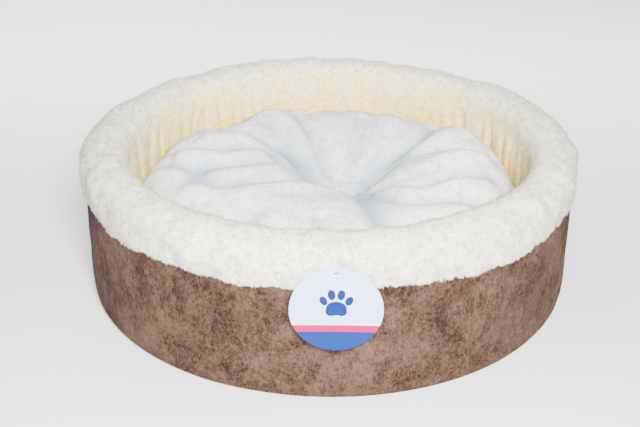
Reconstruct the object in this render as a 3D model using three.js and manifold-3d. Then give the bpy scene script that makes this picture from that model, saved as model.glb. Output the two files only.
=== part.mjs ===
// Round pet cushion bed: a foam ring wall under a plush liner, a suede sleeve round the
// outside, a padded base, a loose tufted cushion, and a round card tag on a plastic fastener.
// Millimetres, +Z up. The bed rests on z = 0 and its centre is the origin; the tag faces -Y.
import * as THREE from 'three';
import Module from 'manifold-3d';
import { mergeVertices } from 'three/addons/utils/BufferGeometryUtils.js';

// ---- driving dimensions ----
const SEG = 48;            // facets round every large ring
const CUSH_SEG = 36;       // facets round the cushion
const GAP = 0.3;           // clearance between pieces that touch
const WALL_R = 243;        // outside of the suede sleeve
const SUEDE_T = 1.8;       // suede with its backing
const CORNER_R = 9;        // rounded lower corner of the sleeve
const LIP_R = 224;         // inner edge of the sleeve's turned-under lip
const HEM_Z = 111;         // top of the suede, where the plush skirt begins
const BASE_R = 223.5;      // non-slip bottom fabric
const BASE_T = 1.8;
const PAD_TOP = 13;        // top of the base foam
const FOAM_OUT = 240.9;    // foam ring, outside
const FOAM_IN = 205;       // foam ring, inside
const FOAM_TOP = 147;
const FOAM_CORNER = 9;
const LINER_IN = 198;      // plush lining face that meets the cushion
const BULGE_R = 247.4;     // widest point of the plush roll
const BULGE_Z = 127.5;
const RIM_TOP = 154.6;
const FLOOR_T = 2;         // floor lining thickness
const COVER_T = 1.6;       // cushion cover thickness
const CUSH_R = 195.4;      // cushion edge seam radius
const CUSH_SEAM = 64;      // cushion edge seam height
const CUSH_BOTTOM = 15.7;
const CUSH_CROWN = 120;
const PIT_Z = 79;          // cover height at the tufted centre
const PIT_X = 18;          // the tuft sits a little right of the bed's centre
const PIT_Y = 1;
const TIE_R = 0.9;         // tufting thread bundle
const KNOT_R = 3;
const TAG_X = 7.5;
const TAG_Y = -253.4;      // mid-plane of the card
const TAG_Z = 99.1;
const TAG_R = 39;
const TAG_T = 0.6;
const TAG_HOLE_R = 2;
const TAG_HOLE_Z = 132.4;
const TACK_Y0 = -239.4;    // fastener bar inside the wall
const TACK_Y1 = -255.2;    // fastener head in front of the card
const TACK_R = 0.45;

// ---- helpers ----
const group = new THREE.Group();
group.name = 'pet_cushion_bed';

// Closed solid of revolution round Z from [r, z] points; points at r = 0 become poles.
function revolve(profile, seg = SEG) {
  const pos = [], rings = [], idx = [];
  for (const [r, z] of profile) {
    if (r < 1e-6) { rings.push([pos.length / 3]); pos.push(0, 0, z); continue; }
    const ring = [];
    for (let i = 0; i < seg; i++) {
      const a = (i / seg) * Math.PI * 2;
      ring.push(pos.length / 3);
      pos.push(r * Math.cos(a), r * Math.sin(a), z);
    }
    rings.push(ring);
  }
  const n = rings.length;
  const onAxis = rings[0].length === 1;
  for (let k = 0; k < (onAxis ? n - 1 : n); k++) {
    const A = rings[k], B = rings[(k + 1) % n];
    if (A.length === 1 && B.length === 1) continue;
    for (let i = 0; i < seg; i++) {
      const j = (i + 1) % seg;
      if (A.length === 1) idx.push(A[0], B[j], B[i]);
      else if (B.length === 1) idx.push(A[i], A[j], B[0]);
      else idx.push(A[i], A[j], B[j], A[i], B[j], B[i]);
    }
  }
  const g = new THREE.BufferGeometry();
  g.setAttribute('position', new THREE.Float32BufferAttribute(pos, 3));
  g.setIndex(idx);
  return outward(g);
}

function volume(g) {
  const p = g.attributes.position, ix = g.index;
  const a = new THREE.Vector3(), b = new THREE.Vector3(), c = new THREE.Vector3();
  let v = 0;
  for (let i = 0; i < ix.count; i += 3) {
    a.fromBufferAttribute(p, ix.getX(i));
    b.fromBufferAttribute(p, ix.getX(i + 1));
    c.fromBufferAttribute(p, ix.getX(i + 2));
    v += a.dot(b.cross(c)) / 6;
  }
  return v;
}

function outward(g) {
  if (volume(g) < 0) {
    const ix = g.index.array;
    for (let i = 0; i < ix.length; i += 3) [ix[i], ix[i + 1]] = [ix[i + 1], ix[i]];
  }
  g.computeVertexNormals();
  return g;
}

const wasm = await Module();
wasm.setup();

function toManifold(geometry) {
  const g = geometry.clone();
  g.deleteAttribute('normal');
  if (g.attributes.uv) g.deleteAttribute('uv');
  const m = mergeVertices(g, 1e-4);
  return new wasm.Manifold(new wasm.Mesh({
    numProp: 3,
    vertProperties: new Float32Array(m.attributes.position.array),
    triVerts: new Uint32Array(m.index.array),
  }));
}

function fromManifold(m) {
  const mesh = m.getMesh();
  const g = new THREE.BufferGeometry();
  g.setAttribute('position', new THREE.Float32BufferAttribute(Array.from(mesh.vertProperties), 3));
  g.setIndex(Array.from(mesh.triVerts));
  g.computeVertexNormals();
  return g;
}

function rodY(r, y0, y1, x, z, seg = 12) {
  const g = new THREE.CylinderGeometry(r, r, Math.abs(y1 - y0), seg);
  g.translate(x, (y0 + y1) / 2, z);
  return g;
}

function rodX(r, length, x, y, z, seg = 12) {
  const g = new THREE.CylinderGeometry(r, r, length, seg);
  g.rotateZ(Math.PI / 2);
  g.translate(x, y, z);
  return g;
}

function add(name, geometry, color, roughness) {
  const mat = new THREE.MeshStandardMaterial({ color, roughness, metalness: 0 });
  mat.name = name + '_material';
  const mesh = new THREE.Mesh(geometry, mat);
  mesh.name = name;
  group.add(mesh);
  return mesh;
}

// Points on a circular arc in the r-z plane, angles in degrees.
function arc(cr, cz, radius, from, to, steps) {
  const out = [];
  for (let i = 0; i <= steps; i++) {
    const t = THREE.MathUtils.degToRad(from + (to - from) * (i / steps));
    out.push([cr + radius * Math.cos(t), cz + radius * Math.sin(t)]);
  }
  return out;
}

// ---- base ----
// Non-slip bottom fabric: the face the bed rests on.
add('base_cover', revolve([[0, 0], [BASE_R, 0], [BASE_R, BASE_T], [0, BASE_T]]), 0x3b3531, 0.85);

// Foam disc of the base; its lower corner follows the sleeve's rounded corner.
const padBottom = GAP + SUEDE_T + GAP;
const padCorner = CORNER_R - SUEDE_T - GAP;
add('base_pad', revolve([
  [0, padBottom],
  ...arc(FOAM_OUT - padCorner, padBottom + padCorner, padCorner, -90, 0, 5),
  [FOAM_OUT, PAD_TOP],
  [0, PAD_TOP],
]), 0xe8e2c8, 0.9);

// ---- wall ----
// Foam ring with eased upper corners; a shallow round pocket takes the tag fastener's bar.
const pocket = rodY(5.4, FOAM_OUT + 2, FOAM_OUT - 3, 0, 0, 24);
pocket.translate(TAG_X, -2 * FOAM_OUT + 1, TAG_HOLE_Z);
const foamRing = revolve([
  [FOAM_IN, PAD_TOP + GAP],
  [FOAM_OUT, PAD_TOP + GAP],
  ...arc(FOAM_OUT - FOAM_CORNER, FOAM_TOP - FOAM_CORNER, FOAM_CORNER, 0, 90, 3),
  ...arc(FOAM_IN + FOAM_CORNER, FOAM_TOP - FOAM_CORNER, FOAM_CORNER, 90, 180, 3),
]);
add('wall_foam', fromManifold(toManifold(foamRing).subtract(toManifold(pocket))), 0xe8e2c8, 0.9);

// Suede sleeve: turned-under lip, rounded corner, upright wall up to the hem.
add('outer_suede_cover', revolve([
  [LIP_R, GAP],
  ...arc(WALL_R - CORNER_R, GAP + CORNER_R, CORNER_R, -90, 0, 5),
  [WALL_R, HEM_Z],
  [WALL_R - SUEDE_T, HEM_Z],
  ...arc(WALL_R - CORNER_R, GAP + CORNER_R, CORNER_R - SUEDE_T, 0, -90, 5),
  [LIP_R, GAP + SUEDE_T],
]), 0x926f5f, 0.9);

// Plush liner: skirt over the hem, full roll over the top, lining down the inside.
const linerOut = FOAM_OUT + GAP;
const linerRing = revolve([
  [linerOut, HEM_Z + GAP],
  [244.4, HEM_Z + GAP],
  [246.6, 116.8],
  [BULGE_R, BULGE_Z],
  [246.8, 138.2],
  [243.8, 147.2],
  [236.6, 152.8],
  [226.0, RIM_TOP],
  [214.0, 153.3],
  [205.0, 148.2],
  [200.2, 139.5],
  [199.0, 125],
  [LINER_IN, 104],
  [LINER_IN, PAD_TOP + GAP],
  [FOAM_IN - GAP, PAD_TOP + GAP],
  ...arc(FOAM_IN + FOAM_CORNER, FOAM_TOP - FOAM_CORNER, FOAM_CORNER + GAP, 180, 90, 3),
  ...arc(FOAM_OUT - FOAM_CORNER, FOAM_TOP - FOAM_CORNER, FOAM_CORNER + GAP, 90, 0, 3),
]);
const tackHole = rodY(TACK_R + 0.35, -236, -252, TAG_X, TAG_HOLE_Z, 12);
add('plush_liner', fromManifold(toManifold(linerRing).subtract(toManifold(tackHole))), 0xf1eee2, 0.95);

// Lining disc on the floor of the well, inside the wall lining.
add('floor_lining', revolve([
  [0, PAD_TOP + GAP], [LINER_IN - GAP, PAD_TOP + GAP],
  [LINER_IN - GAP, PAD_TOP + GAP + FLOOR_T], [0, PAD_TOP + GAP + FLOOR_T],
]), 0xefe9d6, 0.95);

// ---- cushion ----
// Outer faces of the two covers, from the thread hole to the edge seam.
const HOLE = TIE_R + 0.3;
const topFace = [
  [HOLE, PIT_Z], [16, PIT_Z + 2.2], [36, 91], [62, 104.5], [92, 114.8],
  [120, 119.4], [137, CUSH_CROWN], [154, 116.8], [171, 107.5], [184, 94],
  [192.4, 79], [CUSH_R, CUSH_SEAM + GAP / 2],
];
const bottomFace = [
  [HOLE, 24], [14, 20.6], [34, 17], [60, CUSH_BOTTOM], [130, CUSH_BOTTOM],
  [156, 18.6], [175, 26], [187, 38], [193.4, 52], [CUSH_R, CUSH_SEAM - GAP / 2],
];
// The cover's middle is drawn over to the tuft, fading out to nothing at the edge seam.
function toTuft(g) {
  const p = g.attributes.position;
  for (let i = 0; i < p.count; i++) {
    const r = Math.hypot(p.getX(i), p.getY(i)) / CUSH_R;
    const w = Math.max(0, 1 - r * r) ** 2;
    p.setXY(i, p.getX(i) + PIT_X * w, p.getY(i) + PIT_Y * w);
  }
  g.computeVertexNormals();
  return g;
}
// A face moved inwards by t along its own normal in the r-z plane.
function inset(face, t, up) {
  return face.map(([r, z], i) => {
    const a = face[Math.max(0, i - 1)], b = face[Math.min(face.length - 1, i + 1)];
    let nr = -(b[1] - a[1]), nz = b[0] - a[0];
    const l = Math.hypot(nr, nz);
    nr /= l; nz /= l;
    if (!up) { nr = -nr; nz = -nz; }
    const last = i === face.length - 1, first = i === 0;
    return [first ? r : r - nr * t * (last ? 1.0 : 1), last ? z : z - nz * t];
  });
}
const topIn = inset(topFace, COVER_T, true);
const botIn = inset(bottomFace, COVER_T, false);
topIn[topIn.length - 1] = [CUSH_R - COVER_T, CUSH_SEAM + GAP / 2];
botIn[botIn.length - 1] = [CUSH_R - COVER_T, CUSH_SEAM - GAP / 2];
add('cushion_top_cover', toTuft(revolve([...topFace, ...topIn.slice().reverse()], CUSH_SEG)), 0xeceae6, 0.95);
add('cushion_bottom_cover', toTuft(revolve([...bottomFace, ...botIn.slice().reverse()], CUSH_SEG)), 0xeceae6, 0.95);

// Polyester filling, pierced by the tufting thread.
const fillTop = inset(topFace, COVER_T + GAP, true);
const fillBot = inset(bottomFace, COVER_T + GAP, false);
fillTop[fillTop.length - 1] = [CUSH_R - COVER_T - GAP, CUSH_SEAM + GAP / 2];
fillBot.pop();
add('cushion_filling', toTuft(revolve([...fillTop, ...fillBot.slice().reverse()], CUSH_SEG)), 0xf6f4ef, 0.95);

// Tufting thread with a flat knot above and below the covers.
const tie = revolve([
  [0, 24 - 2.2], [KNOT_R, 24 - 2.2], [KNOT_R, 24 - 1.2], [TIE_R, 24 - 0.9],
  [TIE_R, PIT_Z + 2.4], [KNOT_R, PIT_Z + 2.7], [KNOT_R, PIT_Z + 3.7], [0, PIT_Z + 3.7],
], 12);
tie.translate(PIT_X, PIT_Y, 0);
add('tuft_tie', tie, 0xf2f0ea, 0.8);

// ---- tag ----
// Round card with a punched hole near its top edge.
const disc = rodY(TAG_R, TAG_Y - TAG_T / 2, TAG_Y + TAG_T / 2, TAG_X, TAG_Z, 64);
const punch = rodY(TAG_HOLE_R, TAG_Y - 2, TAG_Y + 2, TAG_X, TAG_HOLE_Z, 20);
add('hang_tag', fromManifold(toManifold(disc).subtract(toManifold(punch))), 0xe4e6f6, 0.45);

// Moulded fastener: bar behind the plush, thin filament, small flat head before the card.
const bar = rodX(0.7, 8, TAG_X, TACK_Y0, TAG_HOLE_Z, 12);
const filament = rodY(TACK_R, TACK_Y0, TACK_Y1 + 0.4, TAG_X, TAG_HOLE_Z, 12);
const head = new THREE.BoxGeometry(6.4, 0.9, 1.8);
head.translate(TAG_X, TACK_Y1, TAG_HOLE_Z);
add('tag_tack', fromManifold(
  toManifold(bar).add(toManifold(filament)).add(toManifold(head)),
), 0xf4f4f0, 0.35);

export default group;
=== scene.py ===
import math

import bpy
import bmesh
import numpy as np
from mathutils import Matrix, Vector


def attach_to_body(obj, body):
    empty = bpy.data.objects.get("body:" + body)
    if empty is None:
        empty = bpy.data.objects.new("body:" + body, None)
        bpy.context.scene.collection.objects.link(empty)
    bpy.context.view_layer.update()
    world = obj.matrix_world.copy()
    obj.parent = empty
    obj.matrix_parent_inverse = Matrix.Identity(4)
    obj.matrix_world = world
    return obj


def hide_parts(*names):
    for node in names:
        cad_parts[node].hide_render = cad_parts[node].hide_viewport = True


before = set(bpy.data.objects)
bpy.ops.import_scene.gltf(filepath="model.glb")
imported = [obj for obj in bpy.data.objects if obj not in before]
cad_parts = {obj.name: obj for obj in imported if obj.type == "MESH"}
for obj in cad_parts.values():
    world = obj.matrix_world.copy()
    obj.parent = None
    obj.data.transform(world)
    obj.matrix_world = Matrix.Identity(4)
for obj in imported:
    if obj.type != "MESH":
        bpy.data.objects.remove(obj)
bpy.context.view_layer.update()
RNG = np.random.default_rng(20260)

MM = 0.001
TAU = 2 * math.pi

# ------------------------------------------------------------------ helpers


def smooth(a, b, x):
    t = np.clip((np.asarray(x, float) - a) / (b - a), 0, 1)
    return t * t * (3 - 2 * t)


def angle_gap(a, b):
    """Signed difference of two angles in radians, from -pi to pi."""
    return (np.asarray(a) - b + math.pi) % TAU - math.pi


class Ring:
    """Smooth periodic noise over an angle: a sum of random whole waves."""

    def __init__(self, low, high, seed, slope=1.0):
        r = np.random.default_rng(seed)
        self.k = np.arange(low, high + 1)
        self.a = r.normal(size=len(self.k)) / (self.k / low) ** slope
        self.p = r.uniform(0, TAU, len(self.k))
        self.n = math.sqrt((self.a**2).sum() / 2)

    def __call__(self, th):
        th = np.asarray(th, float)
        out = np.zeros(th.shape)
        for k, a, p in zip(self.k, self.a, self.p):
            out += a * np.cos(k * th + p)
        return out / self.n


class Noise3:
    """Smooth noise in space: a sum of random plane waves of about one wavelength."""

    def __init__(self, wavelength, seed, waves=24, spread=0.45):
        r = np.random.default_rng(seed)
        d = r.normal(size=(waves, 3))
        d /= np.linalg.norm(d, axis=1)[:, None]
        w = wavelength * np.exp(r.uniform(-spread, spread, waves))
        self.k = d * (TAU / w)[:, None]
        self.p = r.uniform(0, TAU, waves)

    def __call__(self, pts):
        return np.cos(pts @ self.k.T + self.p).sum(1) / math.sqrt(len(self.p) / 2)


def around(pairs, period=360.0):
    """A smooth closed curve through (degrees, value) pairs, as a function of radians."""
    pairs = sorted((a % period, v) for a, v in pairs)
    xs = np.array([a for a, _ in pairs])
    vs = np.array([v for _, v in pairs])
    xs = np.concatenate([xs - period, xs, xs + period])
    vs = np.concatenate([vs, vs, vs])

    def f(th):
        x = np.degrees(np.asarray(th, float)) % period
        i = np.clip(np.searchsorted(xs, x, side="right") - 1, 0, len(xs) - 2)
        t = (x - xs[i]) / (xs[i + 1] - xs[i])
        t = t * t * (3 - 2 * t)
        return vs[i] * (1 - t) + vs[i + 1] * t

    return f


def resample(path, step, closed=False):
    """Points spaced evenly along a smooth curve through path."""
    p = np.asarray(path, float)
    fine = []
    n = len(p)
    for i in range(n if closed else n - 1):
        if closed:
            a, b, c, d = p[(i - 1) % n], p[i], p[(i + 1) % n], p[(i + 2) % n]
        else:
            a, b, c, d = p[max(i - 1, 0)], p[i], p[i + 1], p[min(i + 2, n - 1)]
        for t in np.linspace(0, 1, 24, endpoint=False):
            fine.append(
                0.5
                * (
                    2 * b
                    + (c - a) * t
                    + (2 * a - 5 * b + 4 * c - d) * t * t
                    + (3 * b - a - 3 * c + d) * t**3
                )
            )
    fine.append(p[0] if closed else p[-1])
    fine = np.array(fine)
    s = np.concatenate([[0], np.cumsum(np.linalg.norm(np.diff(fine, axis=0), axis=1))])
    count = max(2, int(round(s[-1] / step)) + 1)
    at = np.linspace(0, s[-1], count)
    if closed:
        at = at[:-1]
    return np.stack([np.interp(at, s, fine[:, k]) for k in range(fine.shape[1])], 1)


def make_mesh(name, verts, faces, smooth_shade=True):
    me = bpy.data.meshes.new(name)
    verts = np.asarray(verts, np.float32)
    me.vertices.add(len(verts))
    me.vertices.foreach_set("co", verts.ravel())
    if isinstance(faces, np.ndarray):
        k = faces.shape[1]
        me.loops.add(faces.size)
        me.loops.foreach_set("vertex_index", faces.astype(np.int32).ravel())
        me.polygons.add(len(faces))
        me.polygons.foreach_set(
            "loop_start", np.arange(0, faces.size, k, dtype=np.int32)
        )
        me.polygons.foreach_set("loop_total", np.full(len(faces), k, np.int32))
    else:
        sizes = np.array([len(f) for f in faces], np.int32)
        me.loops.add(int(sizes.sum()))
        me.loops.foreach_set(
            "vertex_index", np.concatenate([np.asarray(f) for f in faces]).astype(np.int32)
        )
        me.polygons.add(len(faces))
        me.polygons.foreach_set(
            "loop_start", np.concatenate([[0], np.cumsum(sizes)[:-1]]).astype(np.int32)
        )
        me.polygons.foreach_set("loop_total", sizes)
    me.polygons.foreach_set("use_smooth", np.full(len(me.polygons), smooth_shade))
    me.update(calc_edges=True)
    me.validate()
    o = bpy.data.objects.new(name, me)
    bpy.context.scene.collection.objects.link(o)
    return o


def ring_faces(rows, cols, closed_rows):
    """Quads of a grid that is closed round its columns, and round its rows if asked."""
    i = np.arange(rows if closed_rows else rows - 1)
    j = np.arange(cols)
    I, J = np.meshgrid(i, j, indexing="ij")
    a = I * cols + J
    b = I * cols + (J + 1) % cols
    c = ((I + 1) % rows) * cols + (J + 1) % cols
    d = ((I + 1) % rows) * cols + J
    return np.stack([a, b, c, d], -1).reshape(-1, 4)


def face_out(o):
    bm = bmesh.new()
    bm.from_mesh(o.data)
    bmesh.ops.recalc_face_normals(bm, faces=bm.faces)
    if bm.calc_volume(signed=True) < 0:
        bmesh.ops.reverse_faces(bm, faces=bm.faces)
    bm.to_mesh(o.data)
    bm.free()
    o.data.update()


def triangles_of(o):
    me = o.data
    me.calc_loop_triangles()
    tri = np.empty(len(me.loop_triangles) * 3, np.int32)
    me.loop_triangles.foreach_get("vertices", tri)
    co = np.empty(len(me.vertices) * 3, np.float32)
    me.vertices.foreach_get("co", co)
    no = np.empty(len(me.vertices) * 3, np.float32)
    me.vertices.foreach_get("normal", no)
    return (
        co.reshape(-1, 3).astype(float),
        tri.reshape(-1, 3),
        no.reshape(-1, 3).astype(float),
    )


# ------------------------------------------------------------------ materials


def nodes_of(name, roughness=0.9):
    m = bpy.data.materials.new(name)
    m.use_nodes = True
    nt = m.node_tree
    bsdf = nt.nodes["Principled BSDF"]
    bsdf.inputs["Roughness"].default_value = roughness
    bsdf.inputs["Metallic"].default_value = 0
    return m, nt, bsdf


def N(nt, kind, **kw):
    n = nt.nodes.new(kind)
    for k, v in kw.items():
        if k == "inputs":
            for name, value in v.items():
                n.inputs[name].default_value = value
        else:
            setattr(n, k, v)
    return n


def L(nt, a, b):
    nt.links.new(a, b)


def ramp(nt, fac, stops, interpolation="LINEAR"):
    r = N(nt, "ShaderNodeValToRGB")
    r.color_ramp.interpolation = interpolation
    e = r.color_ramp.elements
    while len(e) < len(stops):
        e.new(0.5)
    for el, (pos, col) in zip(e, stops):
        el.position = pos
        el.color = (*col, 1)
    L(nt, fac, r.inputs["Fac"])
    return r.outputs["Color"]


def noise(nt, vec, scale, detail=3, rough=0.5, distortion=0.0):
    n = N(nt, "ShaderNodeTexNoise")
    n.inputs["Scale"].default_value = scale
    n.inputs["Detail"].default_value = detail
    n.inputs["Roughness"].default_value = rough
    n.inputs["Distortion"].default_value = distortion
    L(nt, vec, n.inputs["Vector"])
    return n.outputs["Fac"]


def mix(nt, fac, a, b, blend="MIX"):
    m = N(nt, "ShaderNodeMix", data_type="RGBA", blend_type=blend)
    if isinstance(fac, (int, float)):
        m.inputs["Factor"].default_value = fac
    else:
        L(nt, fac, m.inputs["Factor"])
    for socket, v in ((m.inputs[6], a), (m.inputs[7], b)):
        if isinstance(v, tuple):
            socket.default_value = (*v, 1)
        else:
            L(nt, v, socket)
    return m.outputs[2]


def math_node(nt, op, a, b=None, clamp=False):
    m = N(nt, "ShaderNodeMath", operation=op, use_clamp=clamp)
    for i, v in enumerate((a, b)):
        if v is None:
            continue
        if isinstance(v, (int, float)):
            m.inputs[i].default_value = v
        else:
            L(nt, v, m.inputs[i])
    return m.outputs[0]


def remap(nt, v, a, b, c, d):
    m = N(nt, "ShaderNodeMapRange")
    m.inputs["From Min"].default_value = a
    m.inputs["From Max"].default_value = b
    m.inputs["To Min"].default_value = c
    m.inputs["To Max"].default_value = d
    L(nt, v, m.inputs["Value"])
    return m.outputs["Result"]


def coords(nt, scale=(1, 1, 1)):
    t = N(nt, "ShaderNodeTexCoord")
    if scale == (1, 1, 1):
        return t.outputs["Object"]
    m = N(nt, "ShaderNodeMapping")
    m.inputs["Scale"].default_value = scale
    L(nt, t.outputs["Object"], m.inputs["Vector"])
    return m.outputs["Vector"]


def bump(nt, bsdf, height, strength, distance):
    b = N(nt, "ShaderNodeBump")
    b.inputs["Strength"].default_value = strength
    b.inputs["Distance"].default_value = distance
    L(nt, height, b.inputs["Height"])
    L(nt, b.outputs["Normal"], bsdf.inputs["Normal"])


def plush_material(name, light, dark, warm, well_cream_and_painted_bounce=None, painted_fold_shade=None):
    """Pile fabric: tufts of near shades, with painted shade as cooler, darker patches between tufts; inside the well a
    faint cream, painted stronger and warmer for the bounce light there, and painted warm shade low down.
    """
    m, nt, bsdf = nodes_of(name, 0.95)
    co = coords(nt)
    big = noise(nt, co, 18, 2)
    mid = noise(nt, co, 85, 3, 0.65, 0.4)
    small = noise(nt, co, 210, 3, 0.65, 0.4)
    fine = noise(nt, co, 700, 2, 0.6)
    col = ramp(nt, remap(nt, big, 0.35, 0.65, 0, 1), [(0, warm), (1, light)])
    # painted shade: noise mixes in the darker, cooler colour for the shade between tufts
    col = mix(nt, remap(nt, mid, 0.45, 0.68, 0.0, 0.55), col, dark)
    col = mix(nt, remap(nt, small, 0.46, 0.66, 0.0, 0.85), col, dark)
    col = mix(nt, remap(nt, fine, 0.35, 0.7, 0.0, 0.35), col, warm)
    # painted light: inside the well, below the roll, the lining is painted a strong warm cream for the bounce light
    # there, over the fabric's own faint cream; its darker patches are painted shade between tufts
    if well_cream_and_painted_bounce is not None:
        tint, lo, hi, r_in, r_out = well_cream_and_painted_bounce
        xyz = N(nt, "ShaderNodeSeparateXYZ")
        L(nt, co, xyz.inputs[0])
        flat = N(nt, "ShaderNodeCombineXYZ")
        L(nt, xyz.outputs[0], flat.inputs[0])
        L(nt, xyz.outputs[1], flat.inputs[1])
        dist = N(nt, "ShaderNodeVectorMath", operation="LENGTH")
        L(nt, flat.outputs[0], dist.inputs[0])
        inside = remap(nt, dist.outputs["Value"], r_in, r_out, 1.0, 0.0)
        streak = remap(nt, noise(nt, coords(nt, (1.0, 1.0, 0.14)), 48, 3, 0.6), 0.38, 0.62, 0.62, 1.0)
        low = math_node(nt, "MULTIPLY", remap(nt, xyz.outputs[2], lo, hi, 1.0, 0.0), streak)
        f = math_node(nt, "MULTIPLY", inside, low, clamp=True)
        bounce_col = mix(nt, remap(nt, small, 0.44, 0.66, 0.0, 0.8), tint, CREAM_PAINTED_GAP_SHADE)
        col = mix(nt, f, col, bounce_col)
        # painted shade: low down in the well, near the cushion, the lining is multiplied darker and warmer
        bottom_shade_amount = math_node(nt, "MULTIPLY", inside, remap(nt, xyz.outputs[2], 0.092, 0.128, 0.9, 0.0), clamp=True)
        col = mix(nt, bottom_shade_amount, col, WELL_BOTTOM_PAINTED_SHADE, blend="MULTIPLY")
    if painted_fold_shade is not None:  # painted shade: the folds of the top cover are painted darker and cooler
        fold_shade_attr = N(nt, "ShaderNodeAttribute", attribute_name="painted_fold_shade")
        col = mix(nt, remap(nt, fold_shade_attr.outputs["Fac"], 0.0, 1.0, 0.0, 0.85), col, painted_fold_shade)
    L(nt, col, bsdf.inputs["Base Color"])
    L(nt, remap(nt, small, 0.3, 0.7, 0.88, 1.0), bsdf.inputs["Roughness"])
    bsdf.inputs["Sheen Weight"].default_value = 0.15
    bsdf.inputs["Sheen Roughness"].default_value = 0.5
    bsdf.inputs["Specular IOR Level"].default_value = 0.15
    return m, nt, bsdf, co


def suede_material(name):
    """Suede-look cloth: clouds of crushed nap, ragged darker patches, a fine leathery grain."""
    m, nt, bsdf = nodes_of(name, 0.9)
    co = coords(nt)
    stretched = coords(nt, (1.0, 1.0, 0.75))
    clouds = noise(nt, co, 15, 3, 0.6, 0.2)
    patches = noise(nt, stretched, 46, 4, 0.65, 0.4)
    blot = noise(nt, stretched, 170, 4, 0.72, 0.8)
    grain = noise(nt, stretched, 420, 4, 0.75, 0.9)
    fuzz = noise(nt, co, 1300, 2, 0.6)
    v = math_node(nt, "MULTIPLY", remap(nt, clouds, 0.34, 0.66, 0, 1), 0.18)
    v = math_node(nt, "ADD", v, math_node(nt, "MULTIPLY", remap(nt, patches, 0.36, 0.64, 0, 1), 0.25))
    v = math_node(nt, "ADD", v, math_node(nt, "MULTIPLY", remap(nt, blot, 0.36, 0.64, 0, 1), 0.20))
    v = math_node(nt, "ADD", v, math_node(nt, "MULTIPLY", remap(nt, grain, 0.38, 0.62, 0, 1), 0.37))
    col = ramp(
        nt,
        v,
        [(0.24, SUEDE_DEEP), (0.36, SUEDE_DARK), (0.48, SUEDE_MID), (0.62, SUEDE_LIGHT), (0.82, SUEDE_BRIGHT)],
    )
    col = mix(nt, remap(nt, fuzz, 0.4, 0.7, 0.0, 0.25), col, SUEDE_LIGHT)
    L(nt, col, bsdf.inputs["Base Color"])
    L(nt, remap(nt, patches, 0.3, 0.7, 0.98, 0.82), bsdf.inputs["Roughness"])
    h = math_node(nt, "ADD", math_node(nt, "MULTIPLY", blot, 0.8), math_node(nt, "MULTIPLY", grain, 0.55))
    h = math_node(nt, "ADD", h, math_node(nt, "MULTIPLY", fuzz, 0.2))
    bump(nt, bsdf, h, 0.7, 0.0012)
    bsdf.inputs["Sheen Weight"].default_value = 0.03
    bsdf.inputs["Sheen Roughness"].default_value = 0.5
    bsdf.inputs["Sheen Tint"].default_value = (0.5, 0.3, 0.2, 1)
    bsdf.inputs["Specular IOR Level"].default_value = 0.08
    return m


def weave_material(name, colour, dark, scale=700.0, rough=0.9):
    m, nt, bsdf = nodes_of(name, rough)
    co = coords(nt)
    a = N(nt, "ShaderNodeTexWave", bands_direction="X")
    b = N(nt, "ShaderNodeTexWave", bands_direction="Y")
    for w in (a, b):
        w.inputs["Scale"].default_value = scale / 3.0
        w.inputs["Distortion"].default_value = 0.4
        L(nt, co, w.inputs["Vector"])
    cross = math_node(nt, "MULTIPLY", a.outputs["Fac"], b.outputs["Fac"])
    v = noise(nt, co, 45, 3)
    col = mix(nt, remap(nt, cross, 0, 1, 0.6, 0.0), colour, dark)
    col = mix(nt, remap(nt, v, 0.35, 0.65, 0.0, 0.3), col, dark)
    L(nt, col, bsdf.inputs["Base Color"])
    L(nt, remap(nt, v, 0.3, 0.7, rough - 0.06, min(1, rough + 0.06)), bsdf.inputs["Roughness"])
    bump(nt, bsdf, cross, 0.4, 0.0004)
    return m


def foam_material(name):
    m, nt, bsdf = nodes_of(name, 0.95)
    co = coords(nt)
    cells = N(nt, "ShaderNodeTexVoronoi")
    cells.inputs["Scale"].default_value = 900
    L(nt, co, cells.inputs["Vector"])
    v = noise(nt, co, 30, 3)
    col = mix(nt, remap(nt, cells.outputs["Distance"], 0.0, 0.8, 0.0, 0.5), (0.8, 0.76, 0.58), (0.6, 0.53, 0.36))
    col = mix(nt, remap(nt, v, 0.35, 0.65, 0.0, 0.25), col, (0.7, 0.62, 0.42))
    L(nt, col, bsdf.inputs["Base Color"])
    L(nt, remap(nt, v, 0.3, 0.7, 0.9, 1.0), bsdf.inputs["Roughness"])
    bump(nt, bsdf, cells.outputs["Distance"], 0.5, 0.0006)
    return m


def nylon_material(name):
    m, nt, bsdf = nodes_of(name, 0.3)
    co = coords(nt)
    v = noise(nt, co, 300, 2)
    col = mix(nt, remap(nt, v, 0.3, 0.7, 0, 1), (0.82, 0.82, 0.8), (0.9, 0.9, 0.88))
    L(nt, col, bsdf.inputs["Base Color"])
    L(nt, remap(nt, v, 0.3, 0.7, 0.22, 0.38), bsdf.inputs["Roughness"])
    bump(nt, bsdf, v, 0.15, 0.0002)
    bsdf.inputs["Subsurface Weight"].default_value = 0.2
    bsdf.inputs["Subsurface Scale"].default_value = 0.002
    return m


PLUSH_LIGHT = (0.94, 0.93, 0.84)
# painted shade between the tufts, bluish grey
PLUSH_PAINTED_GAP_SHADE = (0.38, 0.41, 0.45)
PLUSH_WARM = (0.93, 0.90, 0.66)
# the lining's faint cream, painted stronger for the well's warm bounce light, and its painted shade between tufts
CREAM_PAINTED_BOUNCE_LIGHT = (0.94, 0.855, 0.40)
CREAM_PAINTED_GAP_SHADE = (0.68, 0.58, 0.28)
# painted warm shade low in the well
WELL_BOTTOM_PAINTED_SHADE = (1.0, 0.74, 0.38)
CUSH_LIGHT = (0.90, 0.905, 0.895)
# painted shade between the tufts of the cushion, bluish grey
CUSH_PAINTED_GAP_SHADE = (0.46, 0.50, 0.56)
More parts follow.
